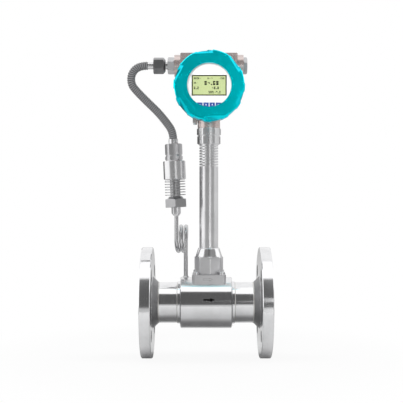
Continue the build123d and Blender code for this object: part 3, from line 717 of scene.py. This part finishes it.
def thin_prism(outline: Outline, thickness: float, wrap: Wrap) -> bmesh.types.BMesh:
    """Build a thin prism from a flat outline.

    Args:
        outline: the corners, counter-clockwise.
        thickness: how far it reaches to each side of the surface.
        wrap: turns (across, up, height) into a point of the part's frame.

    Returns:
        The mesh.
    """
    build = bmesh.new()
    back, front = ([build.verts.new(wrap(across, up, height)) for across, up in outline]
                   for height in (-thickness, thickness))
    build.faces.new(front)
    build.faces.new(back[::-1])
    for index in range(len(outline)):
        after = (index + 1) % len(outline)
        build.faces.new((back[index], back[after], front[after], front[index]))
    return build


def arrow(left: float, right: float, head_length: float, head_width: float,
          shaft_width: float) -> Outline:
    """Give the outline of an arrow that points to the right.

    Args:
        left: the shaft's end.
        right: the tip.
        head_length: the length of the head.
        head_width: the width of the head.
        shaft_width: the width of the shaft.

    Returns:
        The corners, counter-clockwise.
    """
    neck = right - head_length
    head, shaft = head_width / 2, shaft_width / 2
    return [(left, -shaft), (neck, -shaft), (neck, -head), (right, 0.0),
            (neck, head), (neck, shaft), (left, shaft)]


def stroke(start: tuple[float, float], end: tuple[float, float], width: float) -> Outline:
    """Give the outline of a straight line with square ends.

    Args:
        start: where the line starts.
        end: where it ends.
        width: its width.

    Returns:
        The corners, counter-clockwise.
    """
    first, last = Vector(start), Vector(end)
    along = (last - first).normalized() * width / 2
    side = Vector((-along.y, along.x))
    corners = (first - along - side, last + along - side, last + along + side, first - along + side)
    return [(corner.x, corner.y) for corner in corners]


def joined(builds: Iterable[bmesh.types.BMesh]) -> bmesh.types.BMesh:
    """Join several built meshes into one.

    Args:
        builds: the meshes, which are freed.

    Returns:
        The joined mesh.
    """
    whole = bmesh.new()
    scratch = bpy.data.meshes.new("joined_scratch")
    for build in builds:
        build.to_mesh(scratch)
        build.free()
        whole.from_mesh(scratch)
    bpy.data.meshes.remove(scratch)
    return whole


@dataclass
class Conduit(SubAssembly):
    """Armoured conduit from the head's left entry down to the pressure sensor."""

    route: tuple[Point, ...] = (
        (0.0102, 0.0, 0.354), (-0.0028, 0.0, 0.354), (-0.0142, 0.0, 0.3426),
        (-0.0146, 0.0, 0.3272), (-0.0080, 0.0, 0.3178), (0.0085, 0.0, 0.3010),
        (0.0250, 0.0, 0.2853), (0.0370, 0.0, 0.2710), (0.04796, 0.0, 0.25579),
        (0.04843, 0.0, 0.24430),
    )
    diameter: float = 12.5 * MM
    length: float = 148.4 * MM
    rib_pitch: float = 2.95 * MM
    rib_depth: float = 1.0 * MM
    rib_roundness: float = 0.6
    rings_per_rib: int = 8
    sides: int = 48

    def centre_line(self) -> list[Vector]:
        """Read the points of the route's smooth line.

        Returns:
            Points along the line, in order.
        """
        curve = bpy.data.curves.new("conduit_line", "CURVE")
        curve.dimensions = "3D"
        spline = curve.splines.new("NURBS")
        spline.points.add(len(self.route) - 1)
        for point, place in zip(spline.points, self.route):
            point.co = (*place, 1.0)
        spline.order_u = 3
        spline.use_endpoint_u = True
        spline.resolution_u = 48
        holder = link("conduit_line", curve)
        bpy.context.view_layer.update()
        mesh = bpy.data.meshes.new_from_object(holder)
        points = [vertex.co.copy() for vertex in mesh.vertices]
        bpy.data.meshes.remove(mesh)
        bpy.data.objects.remove(holder)
        bpy.data.curves.remove(curve)
        return points

    def even_points(self, points: list[Vector], step: float) -> list[Vector]:
        """Space the points of a line evenly.

        Args:
            points: the line.
            step: the spacing that is aimed at.

        Returns:
            Evenly spaced points from end to end.
        """
        travelled = [0.0]
        for before, after in zip(points, points[1:]):
            travelled.append(travelled[-1] + (after - before).length)
        count = round(travelled[-1] / step)
        even = []
        index = 0
        for number in range(count + 1):
            target = travelled[-1] * number / count
            while index < len(points) - 2 and travelled[index + 1] < target:
                index += 1
            span = travelled[index + 1] - travelled[index]
            share = (target - travelled[index]) / span if span else 0.0
            even.append(points[index].lerp(points[index + 1], share))
        return even

    def build(self) -> None:
        points = self.even_points(self.centre_line(), self.rib_pitch / self.rings_per_rib)
        length = sum((after - before).length for before, after in zip(points, points[1:]))
        log.info("conduit line is %.1f mm long", length / MM)
        build = bmesh.new()
        rings = []
        heights = []
        step = length / (len(points) - 1)
        for number, point in enumerate(points):
            before = points[max(0, number - 1)]
            after = points[min(len(points) - 1, number + 1)]
            along = (after - before).normalized()
            side = Vector((0.0, 1.0, 0.0))
            up = along.cross(side)
            ring = []
            for index in range(self.sides):
                turn = index / self.sides
                phase = step * number / self.rib_pitch - turn
                rib = 0.5 + 0.5 * math.cos(2 * math.pi * phase)
                heights.append(rib)
                radius = self.diameter / 2 - self.rib_depth * (1 - rib ** self.rib_roundness)
                angle = 2 * math.pi * turn
                offset = side * math.cos(angle) + up * math.sin(angle)
                ring.append(build.verts.new(point + offset * radius))
            rings.append(ring)
        for lower, upper in zip(rings, rings[1:]):
            for index in range(self.sides):
                after = (index + 1) % self.sides
                build.faces.new((lower[index], lower[after], upper[after], upper[index]))
        build.faces.new(rings[0])
        build.faces.new(rings[-1])
        sheath = mesh_piece("conduit_sheath", "meter", build, CONDUIT_GREY)
        # the rib height drives the painted shade in the sheath's grooves
        attribute = sheath.data.attributes.new("rib_height", "FLOAT", "POINT")
        attribute.data.foreach_set("value", heights)
        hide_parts("conduit")


@dataclass
class FlowTube(SubAssembly):
    """Flanges, pipes, meter body and shedder bar, with the weld seams and the flow arrow."""

    arrow_middle_x: float = 102.0 * MM
    arrow_middle_z: float = 7.9 * MM
    arrow_length: float = 17.0 * MM
    arrow_head_length: float = 7.0 * MM
    arrow_head_width: float = 5.4 * MM
    arrow_shaft_width: float = 2.4 * MM
    ink_thickness: float = 0.05 * MM
    seam_width: float = 3.0 * MM
    seam_height: float = 0.5 * MM
    seam_ripples: int = 95
    seam_steps: int = 570
    seam_sides: int = 10
    seam_sink: float = 0.1 * MM
    ripple_share: float = 0.18
    ripple_sweep: float = 1.5

    coats: ClassVar[Coats] = {
        "inlet_flange": (FLANGE_STEEL, 0.0),
        "outlet_flange": (FLANGE_STEEL, 0.0),
        "inlet_pipe": (PIPE_STEEL, 0.0),
        "outlet_pipe": (PIPE_STEEL, 0.0),
        "meter_body": (BODY_STEEL, 0.0),
        "shedder_bar": (PROBE_STEEL, 0.2 * MM),
    }

    def build(self) -> None:
        """Build the weld seams and the printed arrow that points with the flow."""
        self.build_seams()
        self.build_arrow()

    def build_seams(self) -> None:
        """Run a rippled seam round each joint of the pipes."""
        low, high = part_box("inlet_pipe")
        far_low, far_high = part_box("outlet_pipe")
        radius = (high.z - low.z) / 2
        for number, x in enumerate((low.x, high.x, far_low.x, far_high.x), 1):
            build = bmesh.new()
            rings = [[build.verts.new(self.seam_point(x, radius, turn / self.seam_steps, side))
                      for side in range(self.seam_sides + 1)] for turn in range(self.seam_steps)]
            for index, ring in enumerate(rings):
                after = rings[(index + 1) % self.seam_steps]
                for side in range(self.seam_sides):
                    build.faces.new((ring[side], ring[side + 1], after[side + 1], after[side]))
            mesh_piece(f"weld_seam_{number}", "meter", build, WELD_STEEL)

    def seam_point(self, x: float, radius: float, turn: float, side: int) -> Point:
        """Place a point of a seam.

        Args:
            x: the joint's place along the pipe.
            radius: the pipe's radius.
            turn: how far round the pipe, from 0 to 1.
            side: the step across the seam.

        Returns:
            The point.
        """
        across = side / self.seam_sides
        wave = self.seam_ripples * turn - self.ripple_sweep * across ** 2
        ripple = 1 + self.ripple_share * math.sin(2 * math.pi * wave)
        rise = self.seam_height * ripple * math.sin(math.pi * across) - self.seam_sink
        angle = 2 * math.pi * turn
        reach = radius + rise
        along = x + self.seam_width * (across - 0.5)
        return (along, reach * math.cos(angle), reach * math.sin(angle))

    def build_arrow(self) -> None:
        """Print the arrow on the body."""
        low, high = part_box("meter_body")
        radius = (high.y - low.y) / 2
        half = self.arrow_length / 2
        outline = arrow(-half, half, self.arrow_head_length, self.arrow_head_width,
                        self.arrow_shaft_width)

        def on_body(across: float, up: float, height: float) -> Point:
            """Wrap a point of the arrow round the body."""
            angle = (self.arrow_middle_z + up) / radius
            reach = radius + height
            return (self.arrow_middle_x + across, -reach * math.cos(angle), reach * math.sin(angle))

        build = thin_prism(outline, self.ink_thickness, on_body)
        mesh_piece("flow_arrow", "meter", build, ARROW_INK, smooth=False)


@dataclass
class StemFoot(SubAssembly):
    """Base plate with its etched mark, screws, eight-sided foot and the probe under it."""

    mark_left: float = 92.9 * MM
    mark_length: float = 14.1 * MM
    mark_middle_z: float = 36.6 * MM
    mark_head_length: float = 4.6 * MM
    mark_head_width: float = 4.4 * MM
    mark_shaft_width: float = 2.0 * MM
    mark_stroke: float = 0.35 * MM
    mark_thickness: float = 0.03 * MM

    coats: ClassVar[Coats] = {
        "base_plate": (PLATE_STEEL, 0.4 * MM),
        "foot_screws": (PLATED_STEEL, 0.0),
        "probe_gasket": (SEAL_RUBBER, 0.0),
        "sensor_probe": (PROBE_STEEL, 0.0),
        "stem_foot": (FOOT_STEEL, 0.0),
    }

    def build(self) -> None:
        """Etch the hollow arrow on the front of the base plate."""
        low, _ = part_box("base_plate")
        right = self.mark_left + self.mark_length
        corners = arrow(self.mark_left, right, self.mark_head_length, self.mark_head_width,
                        self.mark_shaft_width)

        def on_plate(across: float, up: float, height: float) -> Point:
            """Place a point of the mark on the plate's front."""
            return (across, low.y - height, self.mark_middle_z + up)

        lines = [stroke(start, end, self.mark_stroke)
                 for start, end in zip(corners, corners[1:] + corners[:1])]
        build = joined(thin_prism(line, self.mark_thickness, on_plate) for line in lines)
        mesh_piece("plate_mark", "meter", build, ETCHED_INK, smooth=False)


@dataclass
class FinnedStem(SubAssembly):
    """Stem with its cooling fins and the two nuts under the head."""

    coats: ClassVar[Coats] = {
        "stem_tube": (STEM_STEEL, 0.0),
        "lower_nut": (STEM_NUT_STEEL, 0.3 * MM),
        "upper_nut": (STEM_NUT_STEEL, 0.3 * MM),
    }


@dataclass
class DisplayHead(SubAssembly):
    """Housing with its cable entries and the boards inside."""

    coats: ClassVar[Coats] = {
        "housing": (HOUSING_PAINT, 0.6 * MM),
        "ground_screw": (PLATED_STEEL, 0.15 * MM),
        "entry_adapter": (ADAPTER_STEEL, 0.3 * MM),
        "upper_conduit_nut": (DARK_NUT, 0.3 * MM),
        "upper_ferrule": (PLATED_STEEL, 0.2 * MM),
        "blanking_plug": (PLUG_STEEL, 0.3 * MM),
        "main_board": (BOARD_GREEN, 0.0),
        "board_posts": (PLATED_STEEL, 0.0),
        "display_board": (BOARD_GREEN, 0.0),
        "display_posts": (PLATED_STEEL, 0.0),
        "terminal_block": (TERMINAL_GREY, 0.2 * MM),
        "terminal_screws": (PLATED_STEEL, 0.1 * MM),
    }


@dataclass
class Covers(SubAssembly):
    """Screwed covers with the window, its ring and the seals."""

    coats: ClassVar[Coats] = {
        "front_cover": (TEAL_PAINT, 0.5 * MM),
        "rear_cover": (TEAL_PAINT, 0.5 * MM),
        "front_seal": (SEAL_RUBBER, 0.0),
        "rear_seal": (SEAL_RUBBER, 0.0),
        "window_gasket": (SEAL_RUBBER, 0.0),
        "window_glass": (WINDOW_GLASS, 0.0),
        "window_ring": (RING_METAL, 0.2 * MM),
    }


@dataclass(frozen=True)
class Reading:
    """A number on the display, placed by its left end and its foot from the field's middle."""

    figures: str
    left: float
    foot: float
    height: float


@dataclass
class DisplayModule(SubAssembly):
    """Face plate, display with its digits, and the four keys with their symbols."""

    frame_width: float = 1.7 * MM
    field_recess: float = 0.6 * MM
    figure_shape: float = 0.58
    figure_gap: float = 0.22
    stroke: float = 0.3
    bar_gap: float = 0.1
    ink_thickness: float = 0.04 * MM
    symbol_size: float = 2.6 * MM
    readings: tuple[Reading, ...] = (
        Reading("08261", -22.0 * MM, 8.8 * MM, 2.6 * MM),
        Reading("0417", -2.3 * MM, 8.8 * MM, 2.4 * MM),
        Reading("1530", 14.6 * MM, 8.8 * MM, 2.4 * MM),
        Reading("001", -22.0 * MM, 2.4 * MM, 2.3 * MM),
        Reading("84.60", -6.8 * MM, 0.4 * MM, 5.8 * MM),
        Reading("6.2", -22.0 * MM, -5.6 * MM, 3.7 * MM),
        Reading("40.8", 3.9 * MM, -5.6 * MM, 3.7 * MM),
        Reading("30517.2", -1.0 * MM, -11.6 * MM, 3.4 * MM),
    )

    coats: ClassVar[Coats] = {
        "face_plate": (FACE_WHITE, 0.2 * MM),
        "key_switches": (SWITCH_BLACK, 0.2 * MM),
        **{f"key_{number}": (KEY_BLUE, 0.2 * MM) for number in range(1, 5)},
    }

    def build(self) -> None:
        """Dress the display by its own sunk field, and add its digits and the keys' symbols."""
        low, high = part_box("lcd_panel")
        frame = self.frame_width
        panel = DisplayPanel(
            "display_olive", "green_display", (0.53, 0.6, 0.29),
            (low.x + frame, low.y, low.z + frame), (high.x - frame, high.y, high.z - frame))
        dress(self.nodes["lcd_panel"], panel)
        middle = (low + high) / 2
        self.build_digits(Vector((middle.x, low.y + self.field_recess, middle.z)))
        for number, turn in enumerate((90, 180, 0, -90), 1):
            self.build_symbol(number, turn)

    def build_digits(self, middle: Vector) -> None:
        """Build the numbers on the display's field.

        Args:
            middle: the middle of the field's surface.
        """
        bars = []
        for reading in self.readings:
            left = reading.left
            for figure in reading.figures:
                if figure == ".":
                    dot = self.stroke * reading.height
                    bars.append(self.bar(left, reading.foot, left + dot, reading.foot + dot))
                    left += dot + self.figure_gap * reading.height
                    continue
                bars += self.figure(figure, left, reading.foot, reading.height)
                left += (self.figure_shape + self.figure_gap) * reading.height

        def on_field(across: float, up: float, height: float) -> Point:
            """Place a point of a digit on the field."""
            return (middle.x + across, middle.y - height, middle.z + up)

        build = joined(thin_prism(bar, self.ink_thickness, on_field) for bar in bars)
        mesh_piece("display_digits", "meter", build, DIGIT_INK, smooth=False)

    def figure(self, figure: str, left: float, foot: float, height: float) -> list[Outline]:
        """Give the bars of a seven-bar figure.

        Args:
            figure: the figure, from 0 to 9.
            left: its left edge.
            foot: its foot.
            height: its height.

        Returns:
            The outline of each bar.
        """
        wide = self.figure_shape * height
        thick = self.stroke * height
        gap = self.bar_gap * thick
        right = left + wide
        half = foot + height / 2
        top = foot + height
        bars = {
            "top": self.bar(left, top - thick, right, top),
            "middle": self.bar(left + thick, half - thick / 2, right - thick, half + thick / 2),
            "bottom": self.bar(left, foot, right, foot + thick),
            "left_up": self.bar(left, half + gap, left + thick, top - thick - gap),
            "right_up": self.bar(right - thick, half + gap, right, top - thick - gap),
            "left_down": self.bar(left, foot + thick + gap, left + thick, half - gap),
            "right_down": self.bar(right - thick, foot + thick + gap, right, half - gap),
        }
        return [outline for name, outline in bars.items() if figure in LIT_FIGURES[name]]

    @staticmethod
    def bar(left: float, low: float, right: float, high: float) -> Outline:
        """Give the corners of an upright rectangle, counter-clockwise."""
        return [(left, low), (right, low), (right, high), (left, high)]

    def build_symbol(self, number: int, turn: float) -> None:
        """Print a triangle on a key.

        Args:
            number: the key's number, from the left.
            turn: the way that the triangle points, in degrees from straight up.
        """
        low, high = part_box(f"key_{number}")
        middle = (low + high) / 2
        size = self.symbol_size
        angle = math.radians(turn)
        outline = []
        for across, up in ((-size / 2, -size / 3), (size / 2, -size / 3), (0.0, size * 2 / 3)):
            outline.append((across * math.cos(angle) - up * math.sin(angle),
                            across * math.sin(angle) + up * math.cos(angle)))

        def on_key(across: float, up: float, height: float) -> Point:
            """Place a point of the triangle on the key's cap."""
            return (middle.x + across, low.y - height, middle.z + up)

        build = thin_prism(outline, self.ink_thickness, on_key)
        mesh_piece(f"key_symbol_{number}", f"key_{number}", build, SYMBOL_INK, smooth=False)


@dataclass
class PressureSensor(SubAssembly):
    """Pressure sensor on its siphon tube, from the weld bead to the conduit's ferrule."""

    coats: ClassVar[Coats] = {
        "lower_ferrule": (PLATED_STEEL, 0.0),
        "top_nut": (SENSOR_NUT_STEEL, 0.3 * MM),
        "sensor_locknut": (SENSOR_NUT_STEEL, 0.3 * MM),
        "lower_coupling": (PLATED_STEEL, 0.0),
        "sensor_can": (CAN_STEEL, 0.0),
        "pressure_cell": (STEM_STEEL, 0.0),
        "cooling_neck": (NECK_STEEL, 0.0),
        "cone_washer": (STEM_STEEL, 0.0),
        "process_hex": (PROCESS_STEEL, 0.3 * MM),
        "tube_fitting": (SENSOR_STEEL, 0.0),
        "siphon_tube": (TUBE_STEEL, 0.0),
        "weld_bead": (TUBE_STEEL, 0.0),
    }


@dataclass(frozen=True)
class Card:
    """A grey or bright card of the studio, by the directions that it covers."""

    left: float
    right: float
    bottom: float
    top: float
    level: float
    soft: float = 5.0


@dataclass
class Studio:
    """Camera, surroundings, lamp and floor."""

    camera_place: Point = (90.7 * MM, -1.3, 151.0 * MM)
    lens: float = 77.6
    open_level: float = 1.3
    cards: tuple[Card, ...] = (
        Card(-8.0, 8.0, -5.5, 55.5, 0.08),
        Card(-50.0, -8.0, -5.5, 55.5, 0.2),
        Card(8.0, 22.0, 5.5, 55.5, 0.2),
        Card(3.9, 8.0, 7.0, 15.0, 7.0, 0.4),
        Card(6.0, 16.0, -14.0, -3.5, 3.6, 2.0),
        Card(22.0, 72.0, -5.5, 55.5, 0.25),
        Card(-172.0, -120.0, -15.0, 8.0, 0.05),
        Card(76.0, 140.0, -5.0, 12.0, 0.53),
        Card(-190.0, 190.0, -100.0, -5.5, 0.46),
        Card(140.0, 190.0, -5.5, 8.0, 0.45),
        Card(-190.0, -172.0, -5.5, 8.0, 0.45),
        Card(120.0, 190.0, 8.0, 80.0, 0.78),
        Card(-190.0, -120.0, 6.0, 80.0, 0.78),
    )
    lamp_place: Point = (0.0, -1.6, 0.3)
    lamp_aim: Point = (0.1, 0.0, 0.2)
    lamp_width: float = 0.5
    lamp_height: float = 0.4
    lamp_power: float = 33.0
    floor_radius: float = 0.42
    floor_drop: float = 0.2 * MM
    floor_edge: tuple[float, float] = (0.5, 0.98)
    floor_colour: Colour = (0.63, 0.63, 0.63)
    floor_whiteness: float = 0.93
    # painted shadow on the floor under the object: its colour and its reach
    shade_colour: Colour = (0.27, 0.27, 0.27)
    shade_stretch: float = 3.8
    shade_inner: float = 0.02
    shade_outer: float = 0.065

    def camera(self) -> None:
        """Place the camera level with the stem tube, looking along +Y."""
        data = bpy.data.cameras.new("camera")
        data.lens = self.lens
        data.sensor_width = 36.0
        data.clip_start = 0.01
        data.clip_end = 20.0
        made = link("camera", data)
        made.location = self.camera_place
        made.rotation_euler = (math.radians(90), 0.0, 0.0)
        bpy.context.scene.camera = made

    def surroundings(self) -> None:
        """Make the world: white to the camera, with cards for the metal to mirror."""
        world = bpy.data.worlds.new("studio")
        bpy.context.scene.world = world
        world.use_nodes = True
        tree = NodeTree(world.node_tree)
        x, y, z = tree.axes(tree.node("ShaderNodeTexCoord", output="Generated"))
        degree = math.pi / 180
        azimuth = tree.node("ShaderNodeMath", {"operation": "ARCTAN2"}, {0: x, 1: 0 - y}) / degree
        elevation = tree.node("ShaderNodeMath", {"operation": "ARCSINE"}, {0: z}) / degree
        light = 1.0
        for card in self.cards:
            mask = azimuth.between(card.left, card.right, card.soft)
            mask = mask * elevation.between(card.bottom, card.top, card.soft)
            light = light * (1 - (1 - card.level) * mask)
        seen = tree.node("ShaderNodeLightPath", output="Is Camera Ray")
        strength = seen + (1 - seen) * light * self.open_level
        inputs = {"Color": rgba(WHITE), "Strength": strength}
        shader = tree.node("ShaderNodeBackground", {}, inputs)
        tree.node("ShaderNodeOutputWorld", {}, {"Surface": shader})

    def lamp(self) -> None:
        """Hang a broad soft lamp in front of the object, at the height of its head."""
        data = bpy.data.lights.new("front_softbox", "AREA")
        data.shape = "RECTANGLE"
        data.size = self.lamp_width
        data.size_y = self.lamp_height
        data.energy = self.lamp_power
        made = link("front_softbox", data)
        made.location = self.lamp_place
        aim = Vector(self.lamp_aim) - made.location
        made.rotation_euler = aim.to_track_quat("-Z", "Y").to_euler()
        made.visible_glossy = False
        made.visible_camera = False

    def floor(self) -> None:
        """Lay a round pale floor that keeps the object's shadow, with a painted shadow under the
        object, and fades into white.
        """
        low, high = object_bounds()
        build = bmesh.new()
        bmesh.ops.create_circle(build, cap_ends=True, radius=self.floor_radius, segments=128)
        data = bpy.data.meshes.new("floor")
        build.to_mesh(data)
        build.free()
        made = link("floor", data)
        middle = (low + high) / 2
        made.location = (middle.x, middle.y, low.z - self.floor_drop)
        material = bpy.data.materials.new("pale_floor")
        material.use_nodes = True
        tree = NodeTree(material.node_tree)
        x, y, _ = tree.axes(tree.place())
        distance = (x * x + y * y) ** 0.5
        edge = distance.step(*(share * self.floor_radius for share in self.floor_edge))
        along = x / self.shade_stretch
        away = (along * along + y * y) ** 0.5
        # the floor's colour is painted darker under the object, a painted shadow that the metal
        # mirrors
        shaders = [tree.node("ShaderNodeBsdfDiffuse", {}, {"Color": rgba(colour)})
                   for colour in (self.shade_colour, self.floor_colour)]
        share = away.step(self.shade_inner, self.shade_outer)
        inputs = {0: share, 1: shaders[0], 2: shaders[1]}
        diffuse = tree.node("ShaderNodeMixShader", {}, inputs)
        white = tree.node("ShaderNodeEmission", {}, {"Color": rgba(WHITE), "Strength": 1.0})
        seen = tree.node("ShaderNodeLightPath", output="Is Camera Ray")
        share = seen * (self.floor_whiteness + (1 - self.floor_whiteness) * edge)
        mixed = tree.node("ShaderNodeMixShader", {}, {0: share, 1: diffuse, 2: white})
        tree.node("ShaderNodeOutputMaterial", {}, {"Surface": mixed})
        data.materials.append(material)
        made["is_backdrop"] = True


def main() -> None:
    """Load the frame, build and dress each sub-assembly, and set up the studio."""
    logging.basicConfig(level=logging.INFO, format="%(message)s")
    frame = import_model()
    bpy.context.scene.view_settings.view_transform = "Standard"
    studio = Studio()
    studio.camera()
    nodes = frame["nodes"]
    parts = [
        Conduit(nodes), FlowTube(nodes), StemFoot(nodes), FinnedStem(nodes), DisplayHead(nodes),
        Covers(nodes), DisplayModule(nodes), PressureSensor(nodes),
    ]
    for part in parts:
        part.build()
        part.dress()
    studio.surroundings()
    studio.lamp()
    studio.floor()


if __name__ == "__main__":
    main()
